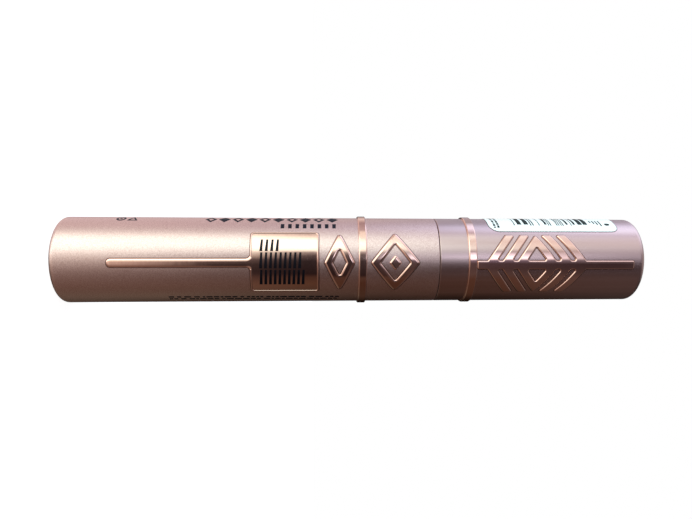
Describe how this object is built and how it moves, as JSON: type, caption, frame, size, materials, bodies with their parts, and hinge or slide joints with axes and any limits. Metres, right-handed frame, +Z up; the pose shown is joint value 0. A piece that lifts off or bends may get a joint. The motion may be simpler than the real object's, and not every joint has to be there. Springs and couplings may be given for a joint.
{
  "type": "mascara tube",
  "caption": "Slim round mascara tube with foil bands and relief; the screw cap carries a stem and brush through a wiper in the neck.",
  "frame": {"origin": "centre of the base, on the surface that the tube stands on", "axes": "+Z up the tube's axis to the cap's closed end, -Y out of the front with the raised ornament, +X to the right seen from the front"},
  "size_m": [0.0204, 0.0204, 0.1326],
  "materials": {
    "bottle_paint": "satin metallic pink paint with fine flake",
    "cap_paint": "half-gloss metallic pink paint, faintly streaked along the axis",
    "foil": "mirror-bright rose-gold foil",
    "vial_plastic": "natural polypropylene, slightly milky",
    "liner_plastic": "black moulded polypropylene",
    "wiper_plastic": "soft low-density polyethylene, satin",
    "seal_rubber": "soft white sealing foam",
    "stem_plastic": "black moulded plastic, half gloss, with a trace of mascara",
    "brush_plastic": "black moulded elastomer",
    "mascara": "wet black cream",
    "label_paper": "coated white paper with printed bars",
    "base_label_paper": "coated white paper"
  },
  "bodies": {
    "bottle": {"bottle_sleeve": "bottle_paint", "inner_vial": "vial_plastic", "mascara_fill": "mascara", "base_label": "base_label_paper", "bottle_band": "foil", "bottle_line": "foil", "bottle_plaque": "foil", "small_diamond": "foil", "large_diamond": "foil"},
    "wiper": {"wiper": "wiper_plastic"},
    "seal": {"seal_ring": "seal_rubber"},
    "wand": {"cap_shell": "cap_paint", "cap_liner": "liner_plastic", "cap_band": "foil", "cap_relief": "foil", "cap_label": "label_paper", "stem": "stem_plastic", "brush_core": "brush_plastic", "bristles": "brush_plastic"}
  },
  "joints": [
    {"name": "cap_twist", "type": "hinge", "parent": "bottle", "child": "wiper", "pos_m": [0, 0, 0], "axis": [0, 0, 1], "range_deg": [0, 600]},
    {"name": "wand_draw", "type": "slide", "parent": "wiper", "child": "seal", "axis": [0, 0, 1], "range_m": [0, 0.095], "deforming": ["bristles"]},
    {"name": "cap_lift", "type": "slide", "parent": "seal", "child": "wand", "axis": [0, 0, 1], "range_m": [0, 0.0048]}
  ],
  "couplings": [
    {"joint": "cap_lift", "follows": "cap_twist", "m_per_rad": 0.00044563}
  ]
}
